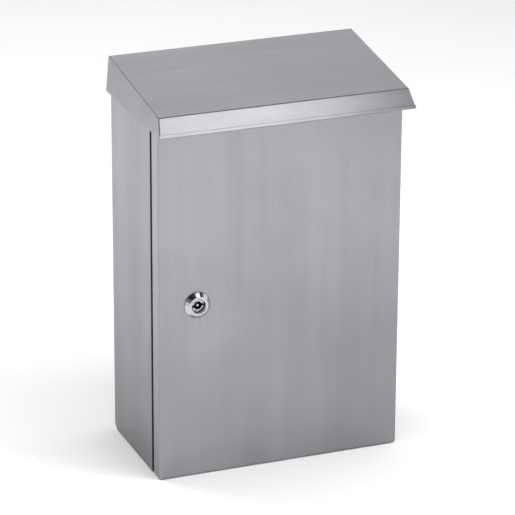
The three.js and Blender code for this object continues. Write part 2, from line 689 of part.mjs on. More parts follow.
function terminalBar() {
  const [near, far] = BAR_DEPTHS;
  const bar = block(-BAR_LENGTH / 2, BAR_LENGTH / 2, depthY(far), depthY(near), -BAR_HALF_HEIGHT,
    BAR_HALF_HEIGHT);
  const screws = [];
  const holes = [];
  for (let i = 0; i < BAR_SCREWS; i += 1) {
    const x = barScrewX(i);
    screws.push(rod(2.7, 'y', depthY(far + 2.6), depthY(far - 0.5), 20).translate([x, 0, 0]));
    holes.push(block(x - 0.5, x + 0.5, depthY(far + 3), depthY(far + 1.6), -3, 3));
    holes.push(rod(WIRE_HOLE, 'z', -BAR_HALF_HEIGHT - 1, BAR_HALF_HEIGHT + 1, 20)
      .translate([x, depthY((near + far) / 2), 0]));
  }
  return cut(unite(bar, ...screws), ...holes);
}

// A clip that grips the rail and a cradle at each end of the bar.
function barHolder() {
  const [near, far] = BAR_DEPTHS;
  const clip = [[near - 3, 20], [8.1, 20], [4, 20], [4, 15], [6.4, 15], [6.4, 17.9], [8.1, 17.9]];
  const mirrored = clip.map(([depth, height]) => [depth, -height]).reverse();
  const base = extrude(profileShape([...clip, ...mirrored]), 'x', -BAR_LENGTH / 2 - 5, BAR_LENGTH / 2 + 5);
  const cradles = [-1, 1].map((side) => {
    const inner = BAR_LENGTH / 2 + GAP;
    const [low, high] = side > 0 ? [inner, inner + 4.7] : [-inner - 4.7, -inner];
    return block(low, high, depthY(far + 1), depthY(near - 4), -7, 7);
  });
  const pocketHalf = BAR_LENGTH / 2 - 8;
  const pocket = block(-pocketHalf, pocketHalf, depthY(near - 2), depthY(near - 10), -14, 14);
  return unite(base, ...cradles).subtract(pocket);
}

// ---- wires ----
function wire(points, radius) {
  const path = new THREE.CatmullRomCurve3(points.map(([x, y, z]) => new THREE.Vector3(x, y, z)), false,
    'centripetal');
  const circle = new THREE.Shape();
  circle.absarc(0, 0, radius, 0, 2 * Math.PI, false);
  const geometry = new THREE.ExtrudeGeometry(circle, { steps: 40, extrudePath: path, curveSegments: 5 });
  return asSolid(geometry);
}

// ---- assembly: shell ----
place('body_sheet', bodySheet(), stainless());
place('side_panel_left', sidePanel(), stainless(), -(WIDTH - SHEET) / 2, 0, 0);
place('side_panel_right', sidePanel(), stainless(), (WIDTH - SHEET) / 2, 0, 0);
place('front_frame', frontFrame(), stainless());
place('roof_hood', roofHood(), stainless());
for (const carrier of CARRIERS) {
  place(`roof_carrier_${carrier.name}`, roofCarrier(carrier.y), stainless());
  for (const [side, x] of [['left', -CARRIER_SCREW_X], ['right', CARRIER_SCREW_X]]) {
    place(`roof_screw_${carrier.name}_${side}`, roofScrew(), zinc(), x, carrier.y, 0);
  }
}
place('gland_plate', glandPlate(), stainless());
place('grommet_left', grommet(), rubber(), -GROMMET_X, GLAND_MID_Y, 0);
place('grommet_right', grommet(), rubber(), GROMMET_X, GLAND_MID_Y, 0);

// ---- assembly: door ----
place('door_pan', doorPan(), stainless());
place('door_seal', doorSeal(), foam());
for (const [level, z] of Object.entries(HINGE_HEIGHTS)) {
  place(`hinge_arm_${level}`, hingeArm(), stainless(), 0, 0, z);
  place(`hinge_leaf_${level}`, hingeLeaf(), stainless(), 0, 0, z);
  place(`hinge_pin_${level}`, hingePin(), zinc(), HINGE_X, HINGE_Y, z);
}
place('lock_housing', lockHousing(), chrome(), LOCK_X, 0, LOCK_Z);
place('lock_insert', lockInsert(), chrome(), LOCK_X, 0, LOCK_Z);
place('lock_nut', lockNut(), zinc(), LOCK_X, 0, LOCK_Z);
place('lock_cam', camPlate(), zinc(), LOCK_X, 0, LOCK_Z);
place('cam_screw', camScrew(), zinc(), LOCK_X, 0, LOCK_Z);

// ---- assembly: mounting plate and rails ----
place('mounting_plate', mountingPlate(), zinc());
for (const [side, x] of [['left', -STUD_X], ['right', STUD_X]]) {
  STUD_HEIGHTS.forEach((z, i) => {
    const earthed = x === EARTH_STUD.x && z === EARTH_STUD.z;
    const seat = PLATE_FRONT - GAP - (earthed ? LUG_THICK + GAP : 0);
    const level = i ? 'upper' : 'lower';
    place(`plate_stud_${level}_${side}`, plateStud(), zinc(), x, 0, z);
    place(`plate_nut_${level}_${side}`, plateNut(seat), zinc(), x, 0, z);
  });
}
for (const [level, z] of Object.entries(RAIL_HEIGHTS)) {
  place(`rail_${level}`, topHatRail(), zinc(), 0, 0, z);
}

// ---- assembly: devices on the upper rail, from left to right ----
let nextX = DEVICE_START;
function placeDevice(name, modules, toggleModules, color, extra) {
  const middle = nextX + deviceWidth(modules) / 2;
  const toggleHalf = (toggleModules * MODULE_WIDTH) / 2 - 4.6;
  const toggleX = toggleModules < modules ? MODULE_WIDTH / 2 : 0;
  const body = deviceBody(modules, toggleX, toggleHalf);
  const z = RAIL_HEIGHTS.upper;
  place(name, extra ? body.subtract(extra) : body, greyPlastic(), middle, 0, z);
  place(`${name}_toggle`, toggle(toggleHalf), color, middle + toggleX, 0, z);
  nextX += modules * MODULE_WIDTH;
  return middle;
}

const buttonFloor = NOSE_DEPTH - TEST_BUTTON.sink - 2;
const buttonHole = rod(TEST_BUTTON.radius + 0.2, 'y', depthY(NOSE_DEPTH + 1), depthY(buttonFloor), 28)
  .translate([TEST_BUTTON.x, 0, TEST_BUTTON.z]);
const mainX = placeDevice('main_switch', 2, 2, blackPlastic());
const rcdX = placeDevice('residual_current_device', 2, 1, blackPlastic(), buttonHole);
place('residual_current_test_button', testButton(), bluePlastic(), rcdX + TEST_BUTTON.x, 0,
  RAIL_HEIGHTS.upper + TEST_BUTTON.z);
const breakerX = [1, 2, 3, 4].map((number) => placeDevice(`breaker_${number}`, 1, 1, blackPlastic()));

const halfModule = MODULE_WIDTH / 2;
const linkTeeth = [mainX, rcdX].flatMap((x) => [x - halfModule, x + halfModule]);
place('link_bar', comb(linkTeeth, -1, 4), copper(), 0, 0, RAIL_HEIGHTS.upper);
place('comb_bar', comb([rcdX + halfModule, ...breakerX], 1, 4), copper(), 0, 0, RAIL_HEIGHTS.upper);

// ---- assembly: bars and wires on the lower rail ----
place('neutral_bar_holder', barHolder(), bluePlastic(), NEUTRAL_X, 0, RAIL_HEIGHTS.lower);
place('neutral_bar', terminalBar(), brass(), NEUTRAL_X, 0, RAIL_HEIGHTS.lower);
place('earth_bar_holder', barHolder(), greenPlastic(), EARTH_X, 0, RAIL_HEIGHTS.lower);
place('earth_bar', terminalBar(), brass(), EARTH_X, 0, RAIL_HEIGHTS.lower);

const wireY = depthY((BAR_DEPTHS[0] + BAR_DEPTHS[1]) / 2);
const neutralX = rcdX - halfModule;
const deviceTop = RAIL_HEIGHTS.upper + TERMINAL_HEIGHT;
const terminalY = depthY((TERMINAL_DEPTHS[0] + TERMINAL_DEPTHS[1]) / 2);
const neutralEnd = NEUTRAL_X + barScrewX(0);
place('neutral_wire', wire([
  [neutralX, terminalY, deviceTop - TERMINAL_SINK + 2], [neutralX, terminalY, deviceTop + 10],
  [neutralX - 12, terminalY, deviceTop + 22], [-70, terminalY, deviceTop + 22],
  [-94, terminalY + 4, deviceTop + 8], [-97, terminalY + 6, RAIL_HEIGHTS.upper],
  [-97, wireY, RAIL_HEIGHTS.lower + 40], [neutralEnd - 3, wireY, RAIL_HEIGHTS.lower + 22],
  [neutralEnd, wireY, RAIL_HEIGHTS.lower + 10], [neutralEnd, wireY, RAIL_HEIGHTS.lower - 2],
], WIRE_RADIUS), bluePlastic());

function earthWire() {
  const start = EARTH_X + barScrewX(BAR_SCREWS - 1);
  const lugY = PLATE_FRONT - GAP - LUG_THICK / 2;
  const lug = rod(6, 'y', lugY - LUG_THICK / 2, lugY + LUG_THICK / 2, 28);
  const tail = block(-2.4, 2.4, lugY - LUG_THICK / 2, lugY + LUG_THICK / 2, 4, 16);
  const barrel = rod(2.2, 'z', 12, 20, 20).translate([0, lugY - 1.6, 0]);
  const hole = rod(STUD_THREAD + GAP, 'y', lugY - 2, lugY + 2, 24);
  const lead = wire([
    [start, wireY, RAIL_HEIGHTS.lower + 2], [start, wireY, RAIL_HEIGHTS.lower - 9],
    [start + 6, wireY + 2, RAIL_HEIGHTS.lower - 20], [EARTH_STUD.x - 1, wireY + 16, EARTH_STUD.z + 38],
    [EARTH_STUD.x, lugY - 3, EARTH_STUD.z + 27], [EARTH_STUD.x, lugY - 1.6, EARTH_STUD.z + 17],
  ], WIRE_RADIUS);
  const end = unite(lug, tail, barrel).subtract(hole).translate([EARTH_STUD.x, 0, EARTH_STUD.z]);
  return unite(end, lead);
}
place('earth_wire', earthWire(), greenPlastic());

export default root;
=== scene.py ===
import json
import math

import bmesh
import bpy
from mathutils import Matrix, Vector


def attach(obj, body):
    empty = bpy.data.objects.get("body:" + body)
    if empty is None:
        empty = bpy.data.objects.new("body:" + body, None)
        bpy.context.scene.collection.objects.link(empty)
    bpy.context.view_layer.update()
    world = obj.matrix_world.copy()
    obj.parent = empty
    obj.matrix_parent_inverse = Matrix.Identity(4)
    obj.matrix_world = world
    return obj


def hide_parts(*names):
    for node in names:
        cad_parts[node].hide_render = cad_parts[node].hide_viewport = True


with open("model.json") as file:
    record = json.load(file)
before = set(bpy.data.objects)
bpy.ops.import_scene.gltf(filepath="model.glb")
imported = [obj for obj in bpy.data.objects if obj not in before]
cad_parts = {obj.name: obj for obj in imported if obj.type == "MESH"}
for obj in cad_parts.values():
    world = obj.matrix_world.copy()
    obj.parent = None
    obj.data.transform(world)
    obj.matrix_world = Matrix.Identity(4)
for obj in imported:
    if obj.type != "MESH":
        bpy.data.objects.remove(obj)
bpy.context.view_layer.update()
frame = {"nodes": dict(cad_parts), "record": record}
NODES = frame["nodes"]

# Lengths are in millimetres, with heights above the floor of the cabinet; pieces are
# turned into metres in the frame of the part when they are made.
MM = 0.001
FLOOR_OF_CABINET = -200.0

# ---- driving dimensions, as in the CAD ----
WIDTH = 280.0
DEPTH = 150.0
BODY_HEIGHT = 405.0
BODY_FRONT = -125.5
SHEET = 1.5
REAR_RADIUS = 10.0

ROOF_TOP_HALF = 142.0
ROOF_LOW_HALF = 145.5
ROOF_REAR = (-0.5, 440.0)
ROOF_FOLD = (-159.5, 419.5)
ROOF_LIP = (-172.5, 400.5)
ROOF_REAR_FLANGE = 18.0

DOOR_TOP = 397.5
DOOR_BACK = -131.5
DOOR_FOLD = 3.0
RIM_HALF = 118.2
RIM_LOW = 21.8
RIM_HIGH = 378.2
SEAL_WIDTH = 12.0
SEAL_BACK = -141.5

WALL_HOLE_X = 105.0
WALL_HOLE_HEIGHTS = (32.0, 368.0)
WALL_HOLE_RADIUS = 4.25
GLAND_HALF = (80.0, 30.0)
GLAND_MIDDLE = -64.0
CARRIER_SCREW_X = 100.0
CARRIER_PLACES = (-112.0, -34.0)
CARRIER_SCREW_HOLE = 2.6

LOCK_X = -96.0
LOCK_HEIGHT = 200.0
LOCK_PROUD = 5.0
CAM_FRONT = -123.4
CAM_BACK = -120.9
SOCKET_TILT = 8.0
LOCK_HOLE = 11.3
SOCKET_RADIUS = 4.6
SQUARE_HALF = 3.5
CAM_SCREW_HOLE = 2.5

UPPER_RAIL = 262.0
LOWER_RAIL = 120.0
MODULE = 17.6
MODULE_GAP = 0.4
DEVICE_START = -72.0
NOSE_Y = -88.0
TERMINAL_FLOOR_Y = -67.0
PIVOT_Y = -80.0
LEVER_TILT = 36.0
RIB_START = 13.0
RIB_PITCH = 1.7
RIB_WIDTH = 0.8
TERMINAL_SCREW_OFFSET = 33
RAIL_FRONT = -20.0
RAIL_WEB = -21.4
RAIL_SCREW_X = 84
TERMINAL_REACH = 42.5
NEUTRAL_START_X = -28.2
NEUTRAL_BAR_X = -50.0
EARTH_BAR_X = 50.0
BAR_END = 31.5

HINGE_HEIGHTS = (("lower", 70), ("upper", 330))

# ---- edge radius of the CAD nodes by material slot, and the nodes whose grain runs across ----
EDGE_ROUND = {"hinge_steel": 0.25, "zinc": 0.2, "chrome": 0.12, "device_grey": 0.35,
              "toggle_black": 0.3, "button_blue": 0.25, "bar_cover": 0.35, "brass": 0.2,
              "holder_blue": 0.35, "holder_green": 0.35, "stainless": 0.2, "rubber": 0.3}
CROSS_GRAIN = ("roof_hood", "roof_carrier_front", "roof_carrier_rear", "gland_plate")

# ---- camera ----
CAMERA_PLACE = (-1193.8, -3122.4, 1498.1)
CAMERA_YAW = 21.431
CAMERA_PITCH = -21.426
CAMERA_ROLL = 0.285
CAMERA_LENS = 223.65

# ---- light ----
ROOM_BRIGHT = 1.12
ROOM_DARK = 0.09

# ---- colours and grain of the steel; grain runs along the axis that is stretched ----
STEEL_DARK = (0.315, 0.32, 0.337)
STEEL_LIGHT = (0.405, 0.41, 0.43)
BODY_DARK = (0.306, 0.311, 0.327)
BODY_LIGHT = (0.393, 0.398, 0.417)
ROOF_DARK = (0.298, 0.303, 0.319)
ROOF_LIGHT = (0.383, 0.388, 0.407)
LINES = {"x": (0.012, 1.0, 1.0), "z": (1.0, 1.0, 0.012)}
STREAKS = {"x": (0.06, 1.0, 1.0), "z": (1.0, 1.0, 0.06)}
EVEN = (1.0, 1.0, 1.0)
# Top of the earth wire's lug, in metres in the frame of the part.
LUG_TOP = -0.1229


# ---- node materials ----
def new_material(name):
    material = bpy.data.materials.new(name)
    material.use_nodes = True
    nodes = material.node_tree.nodes
    return material, nodes, material.node_tree.links, nodes["Principled BSDF"]


def noise(nodes, links, scale, stretch, detail=3.0, roughness=0.55):
    """Noise in the object's own coordinates, stretched along its axes."""
    place = nodes.new("ShaderNodeTexCoord")
    mapping = nodes.new("ShaderNodeMapping")
    mapping.inputs["Scale"].default_value = stretch
    texture = nodes.new("ShaderNodeTexNoise")
    texture.inputs["Scale"].default_value = scale
    texture.inputs["Detail"].default_value = detail
    texture.inputs["Roughness"].default_value = roughness
    links.new(place.outputs["Object"], mapping.inputs["Vector"])
    links.new(mapping.outputs["Vector"], texture.inputs["Vector"])
    return texture.outputs["Fac"]


def remap(nodes, links, value, low, high, source=(0.3, 0.7)):
    """Spreads a value from the source range over low to high."""
    node = nodes.new("ShaderNodeMapRange")
    node.inputs["From Min"].default_value = source[0]
    node.inputs["From Max"].default_value = source[1]
    node.inputs["To Min"].default_value = low
    node.inputs["To Max"].default_value = high
    links.new(value, node.inputs["Value"])
    return node.outputs["Result"]


def combine(nodes, links, operation, a, b):
    node = nodes.new("ShaderNodeMath")
    node.operation = operation
    for socket, value in zip(node.inputs, (a, b)):
        if isinstance(value, (int, float)):
            socket.default_value = value
        else:
            links.new(value, socket)
    return node.outputs["Value"]


def tint(nodes, links, factor, dark, light):
    """A colour between dark and light."""
    ramp = nodes.new("ShaderNodeMix")
    ramp.data_type = "RGBA"
    ramp.inputs[6].default_value = (*dark, 1.0)
    ramp.inputs[7].default_value = (*light, 1.0)
    links.new(factor, ramp.inputs[0])
    return ramp.outputs[2]


def bump(nodes, links, shader, height, strength, distance):
    node = nodes.new("ShaderNodeBump")
    node.inputs["Strength"].default_value = strength
    node.inputs["Distance"].default_value = distance
    links.new(height, node.inputs["Height"])
    links.new(node.outputs["Normal"], shader.inputs["Normal"])


def scaled(nodes, links, colour, factor):
    node = nodes.new("ShaderNodeVectorMath")
    node.operation = "SCALE"
    links.new(colour, node.inputs[0])
    links.new(factor, node.inputs["Scale"])
    return node.outputs["Vector"]


def baked_falloff(nodes, links, low):
    """Light falloff put into the colour: darker low down and to the right, whatever the light."""
    place = nodes.new("ShaderNodeTexCoord")
    parts = nodes.new("ShaderNodeSeparateXYZ")
    links.new(place.outputs["Object"], parts.inputs["Vector"])
    upward = remap(nodes, links, parts.outputs["Z"], low, 1.06, (-0.2, 0.16))
    sideways = remap(nodes, links, parts.outputs["X"], 1.06, 0.92, (-0.14, 0.14))
    return combine(nodes, links, "MULTIPLY", upward, sideways)


def brushed_steel(name, grain, dark, light, roughness=0.36, painted_falloff_low=0.8, fine=0.15):
    """Stainless sheet with fine brush lines along one axis, faint bands and soft clouds; its colour is
    multiplied by a painted light falloff, darker low down and to the right.
    """
    material, nodes, links, shader = new_material(name)
    shader.inputs["Metallic"].default_value = 1.0
    lines = noise(nodes, links, 1500.0, LINES[grain], 4.0, 0.6)
    bands = noise(nodes, links, 34.0, STREAKS[grain], 2.0, 0.5)
    clouds = noise(nodes, links, 9.0, EVEN, 2.0, 0.5)
    streaks = noise(nodes, links, 560.0, STREAKS[grain], 3.0, 0.7)
    mixed = combine(nodes, links, "MULTIPLY", bands, 0.3)
    mixed = combine(nodes, links, "ADD", mixed, combine(nodes, links, "MULTIPLY", streaks, fine))
    mixed = combine(nodes, links, "ADD", mixed, combine(nodes, links, "MULTIPLY", lines, 0.2))
    mixed = combine(nodes, links, "ADD", mixed, combine(nodes, links, "MULTIPLY", clouds, 0.5 - fine))
    factor = remap(nodes, links, mixed, 0.0, 1.0, (0.36, 0.64))
    colour = tint(nodes, links, factor, dark, light)
    falloff = baked_falloff(nodes, links, painted_falloff_low)
    links.new(scaled(nodes, links, colour, falloff), shader.inputs["Base Color"])
    rough = remap(nodes, links, lines, roughness - 0.05, roughness + 0.07)
    links.new(rough, shader.inputs["Roughness"])
    bump(nodes, links, shader, lines, 0.12, 0.00004)
    return material


def plated_metal(name, dark, light, roughness=0.4, grain_scale=220.0):
    """Zinc-plated or cast metal: small crystals, dull patches and slight wear."""
    material, nodes, links, shader = new_material(name)
    shader.inputs["Metallic"].default_value = 1.0
    grains = noise(nodes, links, grain_scale, EVEN, 3.0)
    patches = noise(nodes, links, 28.0, EVEN, 3.0)
    links.new(tint(nodes, links, remap(nodes, links, patches, 0.0, 1.0), dark, light),
              shader.inputs["Base Color"])
    links.new(remap(nodes, links, grains, roughness - 0.08, roughness + 0.08),
              shader.inputs["Roughness"])
    bump(nodes, links, shader, grains, 0.15, 0.00005)
    return material


def chrome(name):
    """Polished chrome with faint smears."""
    material, nodes, links, shader = new_material(name)
    shader.inputs["Metallic"].default_value = 1.0
    smears = noise(nodes, links, 160.0, EVEN, 3.0)
    links.new(tint(nodes, links, remap(nodes, links, smears, 0.0, 1.0),
                   (0.47, 0.47, 0.48), (0.58, 0.58, 0.59)), shader.inputs["Base Color"])
    links.new(remap(nodes, links, smears, 0.06, 0.14), shader.inputs["Roughness"])
    bump(nodes, links, shader, smears, 0.05, 0.00005)
    return material


def moulded_plastic(name, dark, light, roughness=0.5, texture=900.0):
    """Moulded plastic with a fine spark-eroded texture and slight tone changes."""
    material, nodes, links, shader = new_material(name)
    fine = noise(nodes, links, texture, EVEN, 2.0)
    tone = noise(nodes, links, 40.0, EVEN, 2.0)
    links.new(tint(nodes, links, remap(nodes, links, tone, 0.0, 1.0), dark, light),
              shader.inputs["Base Color"])
    links.new(remap(nodes, links, fine, roughness - 0.06, roughness + 0.08),
              shader.inputs["Roughness"])
    bump(nodes, links, shader, fine, 0.18, 0.00008)
    return material


def foam(name):
    """Dark closed-cell foam with fine pores."""
    material, nodes, links, shader = new_material(name)
    cells = nodes.new("ShaderNodeTexVoronoi")
    cells.inputs["Scale"].default_value = 1300.0
    place = nodes.new("ShaderNodeTexCoord")
    links.new(place.outputs["Object"], cells.inputs["Vector"])
    tone = noise(nodes, links, 120.0, EVEN, 3.0)
    links.new(tint(nodes, links, remap(nodes, links, tone, 0.0, 1.0),
                   (0.018, 0.018, 0.020), (0.045, 0.045, 0.048)), shader.inputs["Base Color"])
    links.new(remap(nodes, links, tone, 0.82, 0.95), shader.inputs["Roughness"])
    bump(nodes, links, shader, cells.outputs["Distance"], 0.5, 0.0002)
    return material


def earth_sheath(name):
    """Green sheath with a yellow stripe along it; the lug at its lower end is tinned."""
    material, nodes, links, shader = new_material(name)
    place = nodes.new("ShaderNodeTexCoord")
    facing = nodes.new("ShaderNodeSeparateXYZ")
    links.new(place.outputs["Normal"], facing.inputs["Vector"])
    where = nodes.new("ShaderNodeSeparateXYZ")
    links.new(place.outputs["Object"], where.inputs["Vector"])
    turned = combine(nodes, links, "SUBTRACT", combine(nodes, links, "MULTIPLY", facing.outputs["X"], 0.8),
                     combine(nodes, links, "MULTIPLY", facing.outputs["Y"], 0.6))
    stripe = remap(nodes, links, turned, 0.0, 1.0, (0.5, 0.6))
    metal = remap(nodes, links, where.outputs["Z"], 1.0, 0.0, (LUG_TOP - 0.0003, LUG_TOP))
    colour = nodes.new("ShaderNodeMix")
    colour.data_type = "RGBA"
    colour.inputs[7].default_value = (0.55, 0.56, 0.57, 1.0)
    links.new(metal, colour.inputs[0])
    links.new(tint(nodes, links, stripe, (0.02, 0.22, 0.05), (0.80, 0.62, 0.02)), colour.inputs[6])
    links.new(colour.outputs[2], shader.inputs["Base Color"])
    links.new(metal, shader.inputs["Metallic"])
    fine = noise(nodes, links, 700.0, EVEN, 2.0)
    links.new(remap(nodes, links, fine, 0.32, 0.46), shader.inputs["Roughness"])
    bump(nodes, links, shader, fine, 0.1, 0.00005)
    return material


MATERIALS = {
    # Each brushed steel below carries the painted light falloff, darker low down and to the right; the body's
    # goes darkest, to 0.63.
    "steel_z": brushed_steel("stainless_vertical_grain", "z", STEEL_DARK, STEEL_LIGHT),
    "steel_body": brushed_steel("stainless_body", "z", BODY_DARK, BODY_LIGHT, 0.38, 0.63),
    "steel_x": brushed_steel("stainless_cross_grain", "x", ROOF_DARK, ROOF_LIGHT, 0.33, 0.8, 0.3),
    "steel_fold": brushed_steel("stainless_fold", "x", (0.40, 0.405, 0.42), (0.47, 0.475, 0.49), 0.42),
    "hinge_steel": brushed_steel("hinge_steel", "z", (0.40, 0.41, 0.42), (0.5, 0.51, 0.52), 0.3),
    "zinc": plated_metal("zinc_plate", (0.42, 0.44, 0.46), (0.58, 0.60, 0.62)),
    "chrome": chrome("lock_chrome"),
    "core": plated_metal("lock_core_steel", (0.42, 0.42, 0.43), (0.52, 0.52, 0.53), 0.26, 500.0),
    "brass": plated_metal("drawn_brass", (0.62, 0.44, 0.17), (0.75, 0.57, 0.26), 0.3),
    "foam": foam("seal_foam"),
    # Near-black walls for the lock's socket and bores: painted shade standing in for the dark inside these
    # recesses.
    "socket": plated_metal("lock_socket_painted_shade", (0.05, 0.05, 0.055), (0.10, 0.10, 0.105), 0.45, 500.0),
    "label": moulded_plastic("blank_label", (0.78, 0.78, 0.76), (0.84, 0.84, 0.82), 0.6),
    "rubber": moulded_plastic("grommet_rubber", (0.02, 0.02, 0.022), (0.04, 0.04, 0.043), 0.75),
    "device": moulded_plastic("device_light_grey", (0.66, 0.66, 0.645), (0.74, 0.74, 0.725)),
    "toggle": moulded_plastic("toggle_black", (0.012, 0.012, 0.014), (0.03, 0.03, 0.032), 0.35),
    "button": moulded_plastic("button_blue", (0.03, 0.09, 0.30), (0.05, 0.13, 0.38), 0.35),
    "cover": moulded_plastic("bar_cover_grey", (0.30, 0.31, 0.32), (0.38, 0.39, 0.40), 0.45),
    "blue": moulded_plastic("holder_blue", (0.02, 0.09, 0.33), (0.04, 0.13, 0.42), 0.45),
    "green": moulded_plastic("holder_green", (0.03, 0.20, 0.06), (0.05, 0.28, 0.09), 0.45),
    "wire_blue": moulded_plastic("wire_sheath_blue", (0.02, 0.10, 0.38), (0.04, 0.14, 0.46), 0.35),
    "wire_green": earth_sheath("earth_wire_sheath"),
}

SLOT_MATERIALS = {
    "stainless": "steel_z", "hinge_steel": "hinge_steel", "zinc": "zinc", "chrome": "chrome",
    "seal_foam": "foam", "rubber": "rubber", "device_grey": "device", "toggle_black": "toggle",
    "button_blue": "button", "bar_cover": "cover", "brass": "brass", "holder_blue": "blue",
    "holder_green": "green", "wire_blue": "wire_blue", "wire_green": "wire_green",
}


# ---- smooth shading that keeps hard edges, as a modifier ----
def smooth_by_angle_group():
    group = bpy.data.node_groups.new("smooth_by_angle", "GeometryNodeTree")
    group.interface.new_socket("Geometry", in_out="INPUT", socket_type="NodeSocketGeometry")
    group.interface.new_socket("Geometry", in_out="OUTPUT", socket_type="NodeSocketGeometry")
    nodes, links = group.nodes, group.links
    source = nodes.new("NodeGroupInput")
    target = nodes.new("NodeGroupOutput")
    faces = nodes.new("GeometryNodeSetShadeSmooth")
    faces.domain = "FACE"
    edges = nodes.new("GeometryNodeSetShadeSmooth")
    edges.domain = "EDGE"
    angle = nodes.new("GeometryNodeInputMeshEdgeAngle")
    sharp = nodes.new("FunctionNodeCompare")
    sharp.data_type = "FLOAT"
    sharp.operation = "GREATER_THAN"
    sharp.inputs[1].default_value = math.radians(32)
    links.new(source.outputs[0], faces.inputs["Geometry"])
    links.new(faces.outputs["Geometry"], edges.inputs["Geometry"])
    links.new(angle.outputs["Unsigned Angle"], sharp.inputs[0])
    links.new(sharp.outputs["Result"], edges.inputs["Selection"])
    edges.inputs["Shade Smooth"].default_value = False
    links.new(edges.outputs["Geometry"], target.inputs[0])
    return group


SMOOTH_GROUP = smooth_by_angle_group()


def soften(obj, bevel=0.0, segments=2):
    """Rounds the hard edges by bevel millimetres and smooths what is nearly flat."""
    if bevel:
        modifier = obj.modifiers.new("edge_round", "BEVEL")
        modifier.width = bevel * MM
        modifier.segments = segments
        modifier.limit_method = "ANGLE"
        modifier.angle_limit = math.radians(40)
        modifier.use_clamp_overlap = True
    modifier = obj.modifiers.new("smooth_by_angle", "NODES")
    modifier.node_group = SMOOTH_GROUP
    modifier = obj.modifiers.new("flat_faces", "WEIGHTED_NORMAL")
    modifier.keep_sharp = True


# ---- mesh helpers ----
def to_part_frame():
    """Millimetres above the cabinet's floor into metres in the frame of the part."""
    return Matrix.Translation((0, 0, FLOOR_OF_CABINET * MM)) @ Matrix.Scale(MM, 4)


def add_outline(bm, outline, axis, start, end):
    """A prism: the outline is in (y, z), (x, z) or (x, y) for the axis x, y or z."""
    def point(a, b, c):
        return {"x": (c, a, b), "y": (a, c, b), "z": (a, b, c)}[axis]
    near = [bm.verts.new(point(a, b, start)) for a, b in outline]
    far = [bm.verts.new(point(a, b, end)) for a, b in outline]
    count = len(outline)
    faces = [bm.faces.new(near), bm.faces.new(far[::-1])]
    for i in range(count):
        j = (i + 1) % count
        faces.append(bm.faces.new((near[j], near[i], far[i], far[j])))
    bmesh.ops.recalc_face_normals(bm, faces=faces)
    return near + far


def add_box(bm, x0, x1, y0, y1, z0, z1):
    return add_outline(bm, [(x0, y0), (x1, y0), (x1, y1), (x0, y1)], "z", z0, z1)


def add_lathe(bm, profile, axis, centre, segments=48):
    """Turns a [radius, height] profile about an axis through centre."""
    def point(radius, height, angle):
        u, v = radius * math.cos(angle), radius * math.sin(angle)
        local = {"x": (height, u, v), "y": (u, height, v), "z": (u, v, height)}[axis]
        return Vector(local) + Vector(centre)
    rings = []
    for radius, height in profile:
        if radius < 1e-6:
            rings.append([bm.verts.new(point(0, height, 0))])
        else:
            rings.append([bm.verts.new(point(radius, height, 2 * math.pi * i / segments))
                          for i in range(segments)])
    faces = []
    for low, high in zip(rings, rings[1:]):
        for i in range(segments):
            j = (i + 1) % segments
            corners = [low[i % len(low)], low[j % len(low)], high[j % len(high)], high[i % len(high)]]
            unique = list(dict.fromkeys(corners))
            if len(unique) > 2:
                faces.append(bm.faces.new(unique))
    bmesh.ops.recalc_face_normals(bm, faces=faces)
    return [vert for ring in rings for vert in ring]


def add_rod(bm, radius, axis, start, end, centre, segments=32):
    add_lathe(bm, [(0, start), (radius, start), (radius, end), (0, end)], axis, centre, segments)


def rounded_outline(a0, a1, b0, b1, radii, steps=8):
    """A rectangle with rounded corners; radii run anticlockwise from the low-low corner."""
    corners = [(a0, b0, 180), (a1, b0, 270), (a1, b1, 0), (a0, b1, 90)]
    outline = []
    for (a, b, start), radius in zip(corners, radii):
        if radius <= 0:
            outline.append((a, b))
            continue
        ca = a + (radius if a == a0 else -radius)
        cb = b + (radius if b == b0 else -radius)
        for i in range(steps + 1):
            angle = math.radians(start + 90 * i / steps)
            outline.append((ca + radius * math.cos(angle), cb + radius * math.sin(angle)))
    return outline


def make_piece(name, bm, material, body, replaces=()):
    """Turns a mesh in millimetres into a named piece that rides on a body."""
    bm.transform(to_part_frame())
    mesh = bpy.data.meshes.new(name)
    bm.to_mesh(mesh)
    bm.free()
    obj = bpy.data.objects.new(name, mesh)
    bpy.context.scene.collection.objects.link(obj)
    mesh.materials.append(MATERIALS[material])
    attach(obj, body)
    if replaces:
        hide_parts(*replaces)
    return obj


# ---- CAD nodes: better materials and softened edges ----
SLOT_OF = {row["node"]: row["material_slot"] for row in frame["record"]["subparts"]}
for node_name, node in NODES.items():
    slot_name = SLOT_OF[node_name]
    key = "steel_x" if node_name in CROSS_GRAIN else SLOT_MATERIALS[slot_name]
    node.data.materials.clear()
    node.data.materials.append(MATERIALS[key])
    soften(node, EDGE_ROUND.get(slot_name, 0.0))


# ---- folded sheet metal ----
def fold_edges(bm, pairs, radius, segments=5, material=0):
    """Rounds the edges that join the given pairs of corners."""
    edges = []
    for a, b in pairs:
        edges.append(bm.edges.get((a, b)))
    bmesh.ops.bevel(bm, geom=edges, offset=radius, offset_type="OFFSET", segments=segments,
                    profile=0.5, affect="EDGES", clamp_overlap=True, material=material)


def thicken(obj, thickness):
    """Gives a surface the thickness of its sheet, on the inner side."""
    modifier = obj.modifiers.new("sheet_thickness", "SOLIDIFY")
    modifier.thickness = thickness * MM
    modifier.offset = -1.0
    modifier.use_even_offset = True


def apply_modifiers(obj):
    """Makes the modified shape the piece's own mesh."""
    graph = bpy.context.evaluated_depsgraph_get()
    mesh = bpy.data.meshes.new_from_object(obj.evaluated_get(graph))
    obj.modifiers.clear()
    obj.data = mesh


